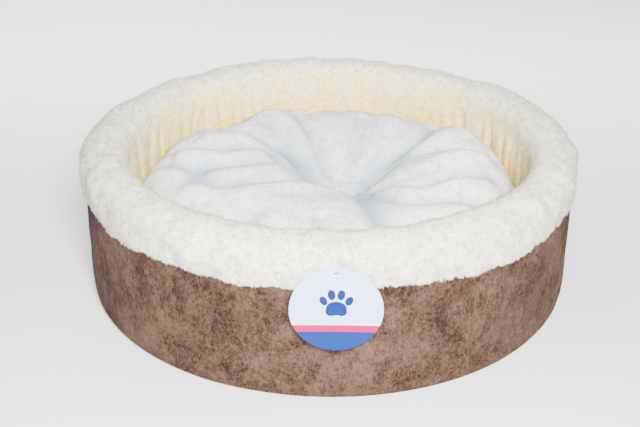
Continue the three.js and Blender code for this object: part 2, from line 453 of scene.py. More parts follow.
# painted shade in the folds of the cushion's top cover
CUSH_FOLD_PAINTED_SHADE = (0.34, 0.41, 0.50)
CUSH_WARM = (0.90, 0.89, 0.82)
SUEDE_BRIGHT = (0.106, 0.065, 0.044)
SUEDE_LIGHT = (0.077, 0.0455, 0.0315)
SUEDE_MID = (0.055, 0.031, 0.0222)
SUEDE_DARK = (0.034, 0.017, 0.012)
SUEDE_DEEP = (0.016, 0.007, 0.0048)

# ------------------------------------------------------------------ the wall's shape (mm)

# Heights of the plush hem and bulges of the sleeve's foot, by angle (degrees, mm).
hem_wave = around(
    [(-153, 0.0), (-140, -2.4), (-131, 0.2), (-124, 1.6), (-115, 1.3), (-107, -0.8), (-100, 1.2),
     (-88, 1.0), (-76, 1.4), (-68, 0.2), (-58, -1.6), (-47, -1.8), (-39, 1.6), (-26, 0.6), (0, -0.6),
     (25, 0.8), (50, -1.0), (80, 0.6), (110, -0.7), (140, 1.0), (170, -0.5)]
)
foot_wave = around(
    [(-160, 0.2), (-148, 0.4), (-134, 1.2), (-124, 2.0), (-115, 2.8), (-106, 1.4), (-100, -0.4),
     (-92, -1.6), (-82, -0.2), (-70, 0.2), (-55, 0.4), (-40, -1.8), (-20, 0.3), (0, 0.8), (30, -0.5),
     (60, 0.9), (95, -0.8), (130, 0.6), (165, -0.4)]
)
JOIN = math.radians(94.2)  # where the plush strip's ends are sewn together, at the back
pucker_env = around(
    [(-90, 0.7), (-60, 0.7), (-30, 0.8), (0, 0.75), (18, 0.9), (28, 1.35), (42, 1.1), (55, 0.5),
     (75, 0.35), (88, 0.4), (100, 0.4), (110, 0.75), (118, 1.45), (134, 1.5), (142, 0.7), (150, 0.6),
     (158, 1.0), (175, 0.9), (200, 0.8), (230, 0.8)]
)
ring_soft = Ring(3, 9, 11, 0.7)
ring_mid = Ring(14, 40, 12, 0.6)
ring_puck = Ring(45, 130, 13, 0.55)
ring_puck2 = Ring(20, 55, 14, 0.4)
ring_lean = Ring(5, 20, 15, 0.5)
bumps25 = Noise3(28.0, 21)
bumps60 = Noise3(70.0, 22)

PILE = 3.6  # how far the pile stands over its backing
# backing of the plush: hem, bulge, top, inner roll, lining down to the floor (r, z)
VISIBLE = [
    (243.9, 113.6), (244.3, 115.4), (245.2, 119.0), (245.6, 124.0), (245.5, 130.0), (244.6, 136.5),
    (241.9, 143.0), (236.8, 148.3), (229.9, 151.6), (221.8, 152.6), (213.5, 151.2), (206.8, 147.0),
    (202.8, 140.6), (201.0, 132.0), (200.4, 118.0), (200.2, 95.0), (200.2, 60.0), (200.2, 30.0),
    (200.2, 14.2),
]
HIDDEN = [
    (204.4, 13.6), (204.6, 40.0), (204.6, 90.0), (204.6, 133.0), (205.4, 141.9), (213.2, 147.5),
    (222.0, 147.7), (232.4, 147.5), (240.3, 142.2), (241.3, 133.0), (241.35, 124.0), (241.4, 114.2),
]
# lines where the lining is drawn in, by angle (degrees): wider puffs in the calm stretches
PUCKERS = []


def lay_puckers():
    r = np.random.default_rng(1313)
    a = 0.0
    while a < 356.0:
        e = float(pucker_env(math.radians(a)))
        step = r.uniform(4.2, 10.5) / (0.55 + 0.5 * e)
        PUCKERS.append((a, 0.45 + 0.5 * r.random(), r.normal() * 0.012, r.uniform(3.0, 5.2)))
        a += step


def rim_offset(th, r, z, along):
    """Radial and vertical wandering of the plush backing, in mm. along is 0 at the hem, 1 at the floor."""
    pts = np.stack([r * np.cos(th), r * np.sin(th), z], -1).reshape(-1, 3)
    soft = bumps60(pts).reshape(r.shape)
    fine = bumps25(pts).reshape(r.shape)
    outer = 1 - smooth(0.12, 0.3, along)
    top = smooth(0.1, 0.22, along) * (1 - smooth(0.36, 0.5, along))
    inner = smooth(0.42, 0.52, along)
    dr = outer * (1.0 * ring_soft(th) + 0.8 * soft + 0.5 * fine)
    dz = top * (0.8 * ring_soft(th + 1.3) + 0.7 * soft + 0.45 * fine)
    dr = dr + top * (0.4 * soft)
    # vertical puckers of the lining: narrow, a little slanted, fading out over the roll
    slant = th + (z - 100) * 0.0005 * ring_lean(th)
    env = pucker_env(th)
    depth = 1.0 - 0.85 * smooth(122, 149, z)
    draw = np.zeros(r.shape)
    for a, d, lean, w in PUCKERS:
        g = angle_gap(slant + lean * (z - 100) / 50, math.radians(a)) * 200
        near = np.abs(g) < 16
        draw[near] += d * (np.exp(-((g[near] / w) ** 2)) * 1.7 - np.exp(-((g[near] / 9.0) ** 2)) * 0.5)
    draw = draw + 0.3 * ring_puck2(slant)
    # drawn-in lines go away from the middle of the bed
    dr = dr + inner * (env * draw * 1.5 * depth + 0.6 * soft)
    dr = dr + inner * 0.5 * ring_soft(th + 2.0)
    # the join at the back: a shallow valley with a little lip beside it
    gap = angle_gap(th, JOIN) * 240
    valley = np.exp(-((gap / 2.0) ** 2)) * 1.6
    lip = np.exp(-(((gap - 6.0) / 5.0) ** 2)) * 1.8
    dz = dz + top * (lip - valley)
    dr = dr + outer * (-valley * 0.8 + lip * 0.3) + inner * valley * 0.9
    return dr, dz


def build_rim():
    lay_puckers()
    cols = 620
    seen = resample(VISIBLE, 2.6)
    hid = resample(HIDDEN, 9.0)
    s = np.concatenate([[0], np.cumsum(np.linalg.norm(np.diff(seen, axis=0), axis=1))])
    along = s / s[-1]
    th = np.arange(cols) / cols * TAU
    TH, A = np.meshgrid(th, along)
    Rr = np.repeat(seen[:, 0:1], cols, 1)
    Zz = np.repeat(seen[:, 1:2], cols, 1)
    dr, dz = rim_offset(TH, Rr, Zz, A)
    low = 1 - smooth(0.0, 0.15, A)
    Rr = Rr + dr
    Zz = Zz + dz + low * hem_wave(TH)
    Rr = Rr + low * 0.0
    top_rows = np.stack([Rr * np.cos(TH), Rr * np.sin(TH), Zz], -1)
    TH2 = np.repeat(th[None, :], len(hid), 0)
    Rh = np.repeat(hid[:, 0:1], cols, 1)
    Zh = np.repeat(hid[:, 1:2], cols, 1)
    lowh = smooth(len(hid) - 4, len(hid) - 1, np.arange(len(hid)))[:, None]
    Zh = Zh + lowh * hem_wave(TH2)
    hid_rows = np.stack([Rh * np.cos(TH2), Rh * np.sin(TH2), Zh], -1)
    verts = np.concatenate([top_rows, hid_rows], 0).reshape(-1, 3) * MM
    rows = len(seen) + len(hid)
    o = make_mesh("plush_rim_and_lining", verts, ring_faces(rows, cols, True))
    face_out(o)
    return o, top_rows * MM, along


def grid_frames(rows):
    """Normal and along-profile direction at every point of a grid of shape (rows, cols, 3), closed round its columns."""
    du = np.roll(rows, -1, 1) - np.roll(rows, 1, 1)
    dv = np.gradient(rows, axis=0)
    n = np.cross(du, dv)
    n /= np.linalg.norm(n, axis=-1)[..., None] + 1e-12
    dv = dv / (np.linalg.norm(dv, axis=-1)[..., None] + 1e-12)
    return n, dv


def sample_grid(rows, fields, count, v_weight, rng, cell):
    """Points spread evenly over a grid surface. Returns positions, interpolated fields, and (u, v)."""
    R, C, _ = rows.shape
    a = rows[:-1]
    quad = np.linalg.norm(
        np.cross(np.roll(a, -1, 1) - a, rows[1:] - a), axis=-1
    )
    w = quad * v_weight[:-1, None]
    w = w.ravel() / w.sum()
    pick = rng.choice(len(w), size=count, p=w)
    i, j = pick // C, pick % C
    fu, fv = rng.random(count), rng.random(count)
    j2, i2 = (j + 1) % C, i + 1

    def at(f):
        return (
            f[i, j] * ((1 - fu) * (1 - fv))[:, None]
            + f[i, j2] * (fu * (1 - fv))[:, None]
            + f[i2, j] * ((1 - fu) * fv)[:, None]
            + f[i2, j2] * (fu * fv)[:, None]
        )

    pos = at(rows)
    keep = thin(pos, cell, rng)
    out = [at(f)[keep] for f in fields]
    return pos[keep], out, (i + fv)[keep], (j + fu)[keep]


def thin(pos, cell, rng):
    """Indices of points left when at most one is kept in each small cube."""
    key = np.floor(pos / cell + rng.random(3)).astype(np.int64)
    key = (key[:, 0] * 73856093) ^ (key[:, 1] * 19349663) ^ (key[:, 2] * 83492791)
    _, first = np.unique(key, return_index=True)
    return np.sort(first)


def sample_triangles(o, count, rng, cell, mask=None):
    co, tri, no = triangles_of(o)
    a, b, c = co[tri[:, 0]], co[tri[:, 1]], co[tri[:, 2]]
    area = np.linalg.norm(np.cross(b - a, c - a), axis=1)
    if mask is not None:
        area = area * mask((a + b + c) / 3)
    pick = rng.choice(len(tri), size=count, p=area / area.sum())
    u, v = rng.random(count), rng.random(count)
    flip = u + v > 1
    u[flip], v[flip] = 1 - u[flip], 1 - v[flip]
    t = tri[pick]
    w = (1 - u - v)[:, None]
    pos = co[t[:, 0]] * w + co[t[:, 1]] * u[:, None] + co[t[:, 2]] * v[:, None]
    nor = no[t[:, 0]] * w + no[t[:, 1]] * u[:, None] + no[t[:, 2]] * v[:, None]
    nor /= np.linalg.norm(nor, axis=1)[:, None] + 1e-12
    keep = thin(pos, cell, rng)
    return pos[keep], nor[keep]


def unit(v):
    return v / (np.linalg.norm(v, axis=1)[:, None] + 1e-12)


def pile(name, pos, nor, lay, length, width, rng, sink=0.5, soft=0.72):
    """Tufts as small closed cones: each leans along lay and stands on pos.
    Their shading normals are bent towards the cloth's, as a soft pile reads."""
    n = len(pos)
    tip_dir = unit(lay)
    side = unit(np.cross(tip_dir, nor) + 1e-9)
    front = unit(np.cross(tip_dir, side))
    spin = rng.uniform(0, TAU, n)
    base = pos - nor * (sink * MM)
    verts = np.empty((n, 4, 3))
    out = np.empty((n, 4, 3))
    for k in range(3):
        a = spin + k * TAU / 3
        d = side * np.cos(a)[:, None] + front * np.sin(a)[:, None]
        verts[:, k] = base + d * (width / 2)[:, None]
        out[:, k] = d
    verts[:, 3] = base + tip_dir * length[:, None]
    out[:, 3] = tip_dir
    idx = np.arange(n)[:, None] * 4
    faces = np.concatenate(
        [idx + np.array([[0, 1, 3]]), idx + np.array([[1, 2, 3]]), idx + np.array([[2, 0, 3]]), idx + np.array([[0, 2, 1]])],
        1,
    ).reshape(-1, 3)
    o = make_mesh(name, verts.reshape(-1, 3), faces)
    # each tuft has its own cell of the map
    side_n = int(math.ceil(math.sqrt(n)))
    cx = (np.arange(n) % side_n) / side_n
    cy = (np.arange(n) // side_n) / side_n
    corner = np.array([[0.12, 0.12], [0.88, 0.12], [0.5, 0.88], [0.5, 0.42]]) / side_n
    uv = np.stack([cx, cy], 1)[:, None, :] + corner[None]
    layer = o.data.uv_layers.new(name="OFBake")
    loop_v = np.empty(len(o.data.loops), np.int32)
    o.data.loops.foreach_get("vertex_index", loop_v)
    layer.data.foreach_set("uv", uv.reshape(-1, 2)[loop_v].astype(np.float32).ravel())
    want = nor[:, None, :] * soft + out * (1 - soft)
    want[:, 3] = nor * 0.9 + tip_dir * 0.25
    want = want.reshape(-1, 3)
    want /= np.linalg.norm(want, axis=1)[:, None]
    o.data.normals_split_custom_set_from_vertices(want.astype(np.float32))
    return o


swirl_a = Noise3(16.0 * MM, 31)
swirl_b = Noise3(16.0 * MM, 32)
clump_a = Noise3(5.5 * MM, 33)
clump_b = Noise3(5.5 * MM, 34)
clump_l = Noise3(7.0 * MM, 35)
patch_l = Noise3(30.0 * MM, 36)


def lay_of(pos, nor, nap, rng, lean, wander=0.55, clump=0.55, jitter=0.3):
    """Direction of each tuft: the nap, turned by soft swirls, clumps and chance, lifted off the cloth."""
    across = unit(np.cross(nor, nap))
    s = wander * swirl_a(pos) + clump * clump_a(pos) + jitter * rng.normal(size=len(pos))
    t = 0.35 * swirl_b(pos) + 0.45 * clump_b(pos) + 0.5 * jitter * rng.normal(size=len(pos))
    flat = nap * (1.0 + t)[:, None] + across * s[:, None]
    return unit(flat * math.sin(lean) + nor * math.cos(lean))


def lengths(pos, rng, mean, vary=0.12):
    f = 1 + vary * clump_l(pos) + 0.06 * patch_l(pos) + 0.1 * rng.normal(size=len(pos))
    return np.clip(f, 0.5, 1.35) * mean


# ------------------------------------------------------------------ plush rim and lining

rim, rim_rows, rim_along = build_rim()
rim_n, rim_v = grid_frames(rim_rows)
probe = (rim_n[0] * np.stack([rim_rows[0, :, 0], rim_rows[0, :, 1], rim_rows[0, :, 2] * 0], -1)).sum(-1).mean()
if probe < 0:
    rim_n = -rim_n
nap_up = -rim_v  # the nap runs from the lining up over the rim and down the skirt

mat_rim, nt_rim, bsdf_rim, co_rim = plush_material(
    "plush_backing", PLUSH_LIGHT, PLUSH_PAINTED_GAP_SHADE, PLUSH_WARM, (CREAM_PAINTED_BOUNCE_LIGHT, 0.134, 0.151, 0.206, 0.222)
)
bump(nt_rim, bsdf_rim, noise(nt_rim, co_rim, 420, 3, 0.6), 0.6, 0.0012)
mat_pile, _, _, _ = plush_material(
    "plush_pile", PLUSH_LIGHT, PLUSH_PAINTED_GAP_SHADE, PLUSH_WARM, (CREAM_PAINTED_BOUNCE_LIGHT, 0.134, 0.151, 0.206, 0.222)
)
rim.data.materials.append(mat_rim)
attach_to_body(rim, "bed")
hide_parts("plush_liner")


def attach(o, parent, mat):
    o.data.materials.append(mat)
    bpy.context.view_layer.update()
    o.parent = parent
    o.matrix_parent_inverse = parent.matrix_world.inverted()
    return o


def rim_pile(name, lo, hi, count, cell, length, width, lean, rng, wander=0.55, clump=0.55, fade=0.02):
    w = smooth(lo - fade, lo + fade, rim_along) * (1 - smooth(hi - fade, hi + fade, rim_along)) + 1e-6
    pos, (nor, nap), v, u = sample_grid(rim_rows, [rim_n, nap_up], count, w, rng, cell * MM)
    keep = (np.interp(v, np.arange(len(rim_along)), rim_along) > lo - fade) & (
        np.interp(v, np.arange(len(rim_along)), rim_along) < hi + fade
    )
    pos, nor, nap = pos[keep], unit(nor[keep]), unit(nap[keep])
    if len(pos) > 49500:
        pick = np.sort(rng.permutation(len(pos))[:49500])
        pos, nor, nap = pos[pick], nor[pick], nap[pick]
    lay = lay_of(pos, nor, nap, rng, math.radians(lean), wander, clump)
    ln = lengths(pos, rng, length * MM)
    wd = width * MM * (1 + 0.2 * rng.normal(size=len(pos))).clip(0.5, 1.6)
    o = pile(name, pos, nor, lay, ln, wd, rng)
    attach(o, rim, mat_pile)
    print("PILE", name, len(pos))
    return o


rim_pile("pile_skirt", 0.0, 0.17, 130000, 1.1, 4.2, 1.3, 60, np.random.default_rng(41), wander=0.5, clump=0.55)
rim_pile("pile_roll", 0.17, 0.42, 140000, 1.15, 4.0, 1.3, 60, np.random.default_rng(42), wander=0.5, clump=0.5)
rim_pile("pile_lining_upper", 0.42, 0.68, 110000, 1.25, 3.2, 1.6, 68, np.random.default_rng(43), wander=0.25, clump=0.25)
rim_pile("pile_lining_lower", 0.68, 0.995, 70000, 2.0, 3.6, 2.4, 68, np.random.default_rng(44), wander=0.25, clump=0.25)


def hem_fringe():
    """The last rows of pile, denser, hanging over the seam between plush and suede."""
    rng = np.random.default_rng(45)
    n = 21000
    C = rim_rows.shape[1]
    v = 3.2 * rng.beta(1.0, 1.9, n)
    u = rng.uniform(0, C, n)
    i, j = v.astype(int), u.astype(int) % C
    fv, fu = (v - i)[:, None], (u - u.astype(int))[:, None]
    j2 = (j + 1) % C

    def at(f):
        return (f[i, j] * (1 - fu) + f[i, j2] * fu) * (1 - fv) + (f[i + 1, j] * (1 - fu) + f[i + 1, j2] * fu) * fv

    pos = at(rim_rows)
    nor = unit(at(rim_n) * np.array([1, 1, 0.3]))
    nap = np.tile([0.0, 0.0, -1.0], (n, 1))
    lay = lay_of(pos, nor, nap, rng, math.radians(66), 0.45, 0.5, 0.3)
    ln = lengths(pos, rng, 4.3 * MM, 0.14)
    o = pile("pile_hem_fringe", pos, nor, lay, ln, np.full(n, 1.25 * MM), rng, sink=0.3)
    attach(o, rim, mat_pile)


hem_fringe()

# ------------------------------------------------------------------ suede sleeve


def build_sleeve():
    cols = 560
    outer = [(224.0, 0.45), (228.0, 0.4), (232.0, 0.45), (236.2, 0.8), (239.8, 2.4), (241.7, 5.6), (242.3, 9.8),
             (242.5, 16.0), (242.8, 30.0), (243.1, 50.0), (243.2, 75.0), (243.0, 95.0), (242.8, 107.0), (242.2, 115.0)]
    inner = [(241.3, 115.2), (241.3, 85.0), (241.35, 50.0), (241.35, 20.0), (241.3, 10.0), (240.6, 7.0), (238.8, 4.1),
             (236.2, 2.5), (232.0, 2.2), (226.0, 2.15), (224.2, 1.6)]
    seen, hid = resample(outer, 2.6), resample(inner, 8.0)
    th = np.arange(cols) / cols * TAU
    TH = np.repeat(th[None, :], len(seen), 0)
    Rr = np.repeat(seen[:, 0:1], cols, 1)
    Zz = np.repeat(seen[:, 1:2], cols, 1)
    pts = np.stack([Rr * np.cos(TH), Rr * np.sin(TH), Zz * 0.6], -1).reshape(-1, 3)
    soft = Noise3(75.0, 51)(pts).reshape(Rr.shape)
    mid = Noise3(30.0, 52)(pts).reshape(Rr.shape)
    small = Noise3(13.0, 53)(pts).reshape(Rr.shape)
    wall = smooth(4, 16, Zz) * (1 - smooth(106, 114, Zz))
    ripple = Ring(22, 60, 54, 0.6)(TH + 0.0004 * (Zz - 50))
    dr = wall * (0.6 * soft + 0.3 * mid + 0.1 * small + 0.32 * ripple)
    dr += smooth(1.0, 8.0, Zz) * (1 - smooth(14, 70, Zz)) * foot_wave(TH)
    # cloth taken in under the plush seam: short gathers
    tuck = smooth(100, 113, Zz)
    dr += tuck * 0.45 * Ring(90, 200, 55, 0.3)(TH)
    # the sleeve's closing seam, at the back in line with the plush join
    gap = angle_gap(TH, JOIN) * 243
    dr += wall * (-1.1 * np.exp(-((gap / 1.1) ** 2)) + 0.7 * np.exp(-(((gap - 4.0) / 3.0) ** 2)))
    Rr = Rr + np.maximum(dr, -1.2 + 0 * dr)
    under = 1 - smooth(0.5, 3.0, Zz)
    Zz = Zz + under * 0.12 * Ring(60, 140, 56, 0.3)(TH) * smooth(224.5, 228, Rr)
    Zz = np.maximum(Zz, 0.2)
    top = smooth(107, 112, Zz)
    Zz = Zz + top * hem_wave(TH)
    a = np.stack([Rr * np.cos(TH), Rr * np.sin(TH), Zz], -1)
    TH2 = np.repeat(th[None, :], len(hid), 0)
    Rh = np.repeat(hid[:, 0:1], cols, 1)
    Zh = np.repeat(hid[:, 1:2], cols, 1)
    Zh = Zh + smooth(107, 112, Zh) * hem_wave(TH2)
    b = np.stack([Rh * np.cos(TH2), Rh * np.sin(TH2), Zh], -1)
    verts = np.concatenate([a, b], 0).reshape(-1, 3) * MM
    o = make_mesh("suede_sleeve", verts, ring_faces(len(seen) + len(hid), cols, True))
    face_out(o)
    return o


sleeve = build_sleeve()
sleeve.data.materials.append(suede_material("suede"))
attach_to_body(sleeve, "bed")
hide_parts("outer_suede_cover")

# ------------------------------------------------------------------ cushion

SEAM_Z = 64.0
CUSH_R = 195.4
PIT = (18.0, 1.0)  # the tuft sits a little right of the middle
FRONT = [(0, 80), (8, 82), (18, 89), (28, 97), (38, 103.5), (50, 109), (70, 114), (95, 117), (120, 118.5), (138, 118),
         (155, 114.8), (172, 107), (184, 95), (191.5, 80), (195.0, SEAM_Z)]
BACK = [(0, 80), (10, 80.8), (25, 85), (45, 93), (70, 103), (95, 111), (120, 117.5), (140, 119.6), (156, 117.2),
        (172, 108.5), (184, 95.4), (191.5, 80), (195.0, SEAM_Z)]
UNDER = [(0, 24), (14, 20.8), (34, 17.6), (60, 16.6), (130, 16.6), (156, 19.2), (175, 26.6), (187, 38.6), (193, 51),
         (195.0, SEAM_Z)]
# how much taller or lower the filling stands, by angle (degrees, mm)
stuffed = around(
    [(-20, 3.5), (0, 7.0), (20, 9.0), (33, 8.0), (44, 2.5), (55, -3.0), (66, 1.0), (72, -1.5), (81, 0.5), (92, -1.0),
     (101, -4.0), (110, 2.0), (119, 2.0), (127, -3.0), (136, -4.5), (146, 1.0), (155, 5.5), (165, 7.5), (182, 7.0),
     (200, 3.0), (225, 0.0), (250, 1.0), (270, 0.0), (300, 1.0), (325, 0.5)]
)
# folds and puffs of the top cover: height (mm, minus is a fold), half width (mm), then the line (x, y) in mm
FOLDS = [
    (-6.5, 8, [(-182, 34), (-152, 24), (-132, 21), (-113, 23), (-98, 33), (-77, 45), (-66, 44), (-54, 33), (-40, 19), (-16, 5)]),
    (-6.5, 8, [(-184, 12), (-148, -15), (-121, -20), (-97, -10), (-81, 5), (-66, 19), (-53, 21), (-40, 14), (-18, 3)]),
    (-8.5, 13, [(-150, -22), (-136, -30), (-121, -45), (-105, -56), (-93, -53), (-75, -46), (-57, -35), (-31, -22), (-8, -11)]),
    (-3.5, 6, [(-152, 36), (-135, 45), (-123, 58), (-112, 62)]),
    (-8.5, 11, [(-138, 92), (-120, 86), (-97, 82), (-76, 73), (-55, 64), (-41, 50), (-29, 33), (-10, 14)]),
    (-4.0, 9, [(-80, 132), (-69, 112), (-49, 89), (-34, 66), (-22, 44), (-2, 18)]),
    (-5.5, 7, [(-40, 140), (-36, 126), (-24, 96), (-14, 71), (-7, 51), (6, 24)]),
    (-3.5, 7, [(37, 140), (34, 125), (30, 95), (25, 65), (21, 37), (18, 15)]),
    (-9.5, 11, [(128, 112), (110, 88), (98, 71), (84, 59), (70, 51), (56, 42), (44, 29), (28, 11)]),
    (-5.5, 7, [(172, 20), (158, 21), (141, 22), (125, 29), (109, 33), (92, 36), (76, 37), (63, 31), (50, 20), (32, 7)]),
    (-7.5, 10, [(180, -12), (168, -14), (148, -26), (129, -30), (109, -38), (94, -42), (77, -40), (60, -30), (45, -18), (28, -6)]),
    (-6.5, 9, [(150, -66), (136, -72), (117, -76), (99, -80), (83, -86), (70, -86), (58, -72), (48, -54), (36, -30), (26, -14)]),
    (-8.5, 10, [(22, -18), (30, -44), (35, -72), (40, -92), (44, -112), (52, -132), (66, -150)]),
    (-4.0, 11, [(-62, -104), (-78, -132), (-90, -160)]),
    (-3.5, 12, [(-10, -112), (-4, -140), (-8, -166)]),
    (-4.0, 11, [(96, -116), (112, -134), (124, -150)]),
    (-3.5, 11, [(-128, -84), (-150, -94), (-164, -100)]),
    (3.0, 10, [(-166, 2), (-139, 0), (-111, 2), (-88, 16), (-68, 31), (-52, 26)]),
    (3.5, 10, [(-128, -33), (-107, -34), (-89, -28), (-71, -13), (-56, 0), (-42, 1)]),
    (4.0, 12, [(-140, 30), (-115, 44), (-92, 58), (-75, 57), (-56, 47), (-40, 34)]),
    (5.0, 15, [(-150, -62), (-122, -74), (-91, -83), (-55, -68), (-25, -52), (-6, -44), (14, -40)]),
    (3.5, 12, [(-72, 140), (-58, 117), (-42, 88), (-28, 60)]),
    (3.0, 16, [(-8, 135), (0, 104), (7, 72), (11, 44)]),
    (3.5, 15, [(80, 126), (64, 100), (50, 74), (38, 50), (28, 28)]),
    (4.5, 11, [(158, 62), (136, 62), (116, 56), (94, 46), (74, 44)]),
    (5.5, 13, [(170, 2), (140, 2), (118, 2), (96, 3), (76, 4), (54, 4)]),
    (4.5, 11, [(166, -44), (138, -50), (110, -58), (88, -62), (68, -56), (50, -40)]),
    (3.5, 13, [(140, -92), (112, -102), (86, -112), (64, -112)]),
]


def line_distance(x, y, line):
    """Distance of each point to a line of joined points, and the share of the line at the nearest spot."""
    p = resample(line, 6.0)
    a, b = p[:-1], p[1:]
    d = b - a
    L2 = (d**2).sum(1)
    u = ((x[:, None] - a[:, 0]) * d[:, 0] + (y[:, None] - a[:, 1]) * d[:, 1]) / L2
    u = np.clip(u, 0, 1)
    dx = x[:, None] - (a[:, 0] + u * d[:, 0])
    dy = y[:, None] - (a[:, 1] + u * d[:, 1])
    q = dx * dx + dy * dy
    k = q.argmin(1)
    rows = np.arange(len(x))
    return np.sqrt(q[rows, k]), (k + u[rows, k]) / len(a)


def painted_fold_shade_of(pos):
    """Painted fold shade at each point of the top cover, 0 to 1: how deep the point sits in a fold."""
    x, y, z = (pos * 1000).T
    h = np.zeros(len(x))
    for high, half, line in FOLDS:
        if high < 0:
            d, share = line_distance(x, y, line)
            h -= high * np.exp(-((d / (half * 1.15)) ** 2)) * smooth(0.0, 0.14, share) * (1 - 0.5 * smooth(0.85, 1.0, share))
    return np.clip(h / 9.0, 0, 1) * smooth(66, 82, z)


def mark_painted_fold_shade(o, values):
    a = o.data.attributes.new("painted_fold_shade", "FLOAT", "POINT")
    a.data.foreach_set("value", values.astype(np.float32))


def to_tuft(r, th):
    w = np.maximum(0, 1 - (r / CUSH_R) ** 2) ** 2
    return r * np.cos(th) + PIT[0] * w, r * np.sin(th) + PIT[1] * w


def along_path(p, t):
    s = np.concatenate([[0], np.cumsum(np.linalg.norm(np.diff(p, axis=0), axis=1))])
    s /= s[-1]
    return np.interp(t, s, p[:, 0]), np.interp(t, s, p[:, 1])


def cushion_top(th, t):
    """Points of the top cover by angle (radians) and share t of the way from pit to edge seam."""
    f = resample(FRONT, 2.0)
    b = resample(BACK, 2.0)
    w = smooth(-0.35, 0.75, -np.sin(th - math.radians(-8)))

    def crown(t):
        rf, zf = along_path(f, t)
        rb, zb = along_path(b, t)
        r, z = rb + (rf - rb) * w, zb + (zf - zb) * w
        return r, z + stuffed(th) * smooth(55, 145, r) * (1 - smooth(0.9, 1.0, t))

    r, z = crown(t)
    r2, z2 = crown(np.minimum(t + 0.004, 1))
    r1, z1 = crown(np.maximum(t - 0.004, 0))
    ln = np.hypot(r2 - r1, z2 - z1) + 1e-9
    nr, nz = -(z2 - z1) / ln, (r2 - r1) / ln
    x, y = to_tuft(r, th)
    away = np.hypot(x - PIT[0], y - PIT[1])
    h = np.zeros(r.shape)
    for high, half, line in FOLDS:
        d, share = line_distance(x, y, line)
        ends = smooth(0.0, 0.12, share) * (1 - 0.6 * smooth(0.85, 1.0, share))
        if high < 0:  # a fold is sharper at its bottom than a puff at its top
            g = np.exp(-((d / (half * 1.1)) ** 2)) * 0.92 + np.exp(-d / (half * 0.8)) * 0.2
        else:
            g = np.exp(-((d / half) ** 2))
        h = h + (1.2 if high < 0 else 1.1) * high * g * ends
    h = 12.5 * np.tanh(h / 12.5)
    h = h * smooth(4, 34, away)
    # fine pleats that run out of the tuft
    ang = np.arctan2(y - PIT[1], x - PIT[0])
    pl = Ring(15, 38, 62, 0.3)(ang + 0.002 * away)
    h = h + 0.55 * pl * smooth(6, 26, away) * (1 - smooth(42, 95, away))
    pts = np.stack([x, y, 0 * x], -1)
    h = h + (1.1 * Noise3(85, 63)(pts) + 0.55 * Noise3(34, 64)(pts)) * smooth(20, 70, away)
    h = h * (1 - smooth(0.9, 1.0, t))
    x = x + nr * h * np.cos(th)
    y = y + nr * h * np.sin(th)
    return x, y, z + nz * h


def zip_rings(a, b, ang_a, ang_b):
    """Triangles between two closed rings of indices with given angles."""
    faces = []
    na, nb = len(a), len(b)
    i = j = 0
    ang_b = np.asarray(ang_b)
    while i < na or j < nb:
        next_a = ang_a[i + 1] if i + 1 < na else ang_a[0] + TAU
        next_b = ang_b[j + 1] if j + 1 < nb else ang_b[0] + TAU
        if j >= nb or (i < na and next_a <= next_b):
            faces.append((a[i % na], a[(i + 1) % na], b[j % nb]))
            i += 1
        else:
            faces.append((a[i % na], b[(j + 1) % nb], b[j % nb]))
            j += 1
    return faces


def build_cushion():
    step = 3.7
    total = 232.0
    rings = int(round(total / step))
    verts, faces = [], []

    def side(shape, rings, centre):
        out = []
        prev, prev_ang = None, None
        for k in range(1, rings + 1):
            t = k / rings
            r0 = float(np.interp(t, *shape["guide"]))
            n = max(6, int(round(TAU * r0 / step)))
            if k == rings:
                n = EDGE_N
            ang = (np.arange(n) + (0.5 if k % 2 else 0.0) * (k != rings)) * TAU / n
            x, y, z = shape["f"](ang, np.full(n, t))
            idx = np.arange(len(verts), len(verts) + n)
            if k == rings and "edge" in shape:
                idx = shape["edge"]
            else:
                verts.extend(np.stack([x, y, z], 1))
            if prev is None:
                for i in range(n):
                    faces.append((centre, idx[i], idx[(i + 1) % n]))
            else:
                faces.extend(zip_rings(list(prev), list(idx), prev_ang, ang))
            prev, prev_ang = idx, ang
            out.append(idx)
        return prev

    EDGE_N = int(round(TAU * 195 / step))
    f = resample(FRONT, 2.0)
    s = np.concatenate([[0], np.cumsum(np.linalg.norm(np.diff(f, axis=0), axis=1))])
    verts.append((*PIT, FRONT[0][1]))
    edge = side({"guide": (s / s[-1], f[:, 0]), "f": cushion_top}, rings, 0)
    u = resample(UNDER, 2.0)
    su = np.concatenate([[0], np.cumsum(np.linalg.norm(np.diff(u, axis=0), axis=1))])
    su = su / su[-1]

    def under(th, t):
        r, z = np.interp(t, su, u[:, 0]), np.interp(t, su, u[:, 1])
        g = Ring(24, 60, 65, 0.4)(th)
        lift = smooth(120, 185, r) * (1 - smooth(0.93, 1.0, t))
        x, y = to_tuft(r + 1.2 * g * lift, th)
        return x, y, z - 0.9 * g * lift + 0.5 * Ring(9, 24, 66)(th) * (1 - smooth(20, 70, r)) * smooth(4, 14, r)

    c = len(verts)
    verts.append((*PIT, UNDER[0][1]))
    side({"guide": (su, u[:, 0]), "f": under, "edge": edge}, int(round(total * 0.93 / step)), c)
    o = make_mesh("cushion", np.array(verts) * MM, np.array(faces))
    face_out(o)
    return o


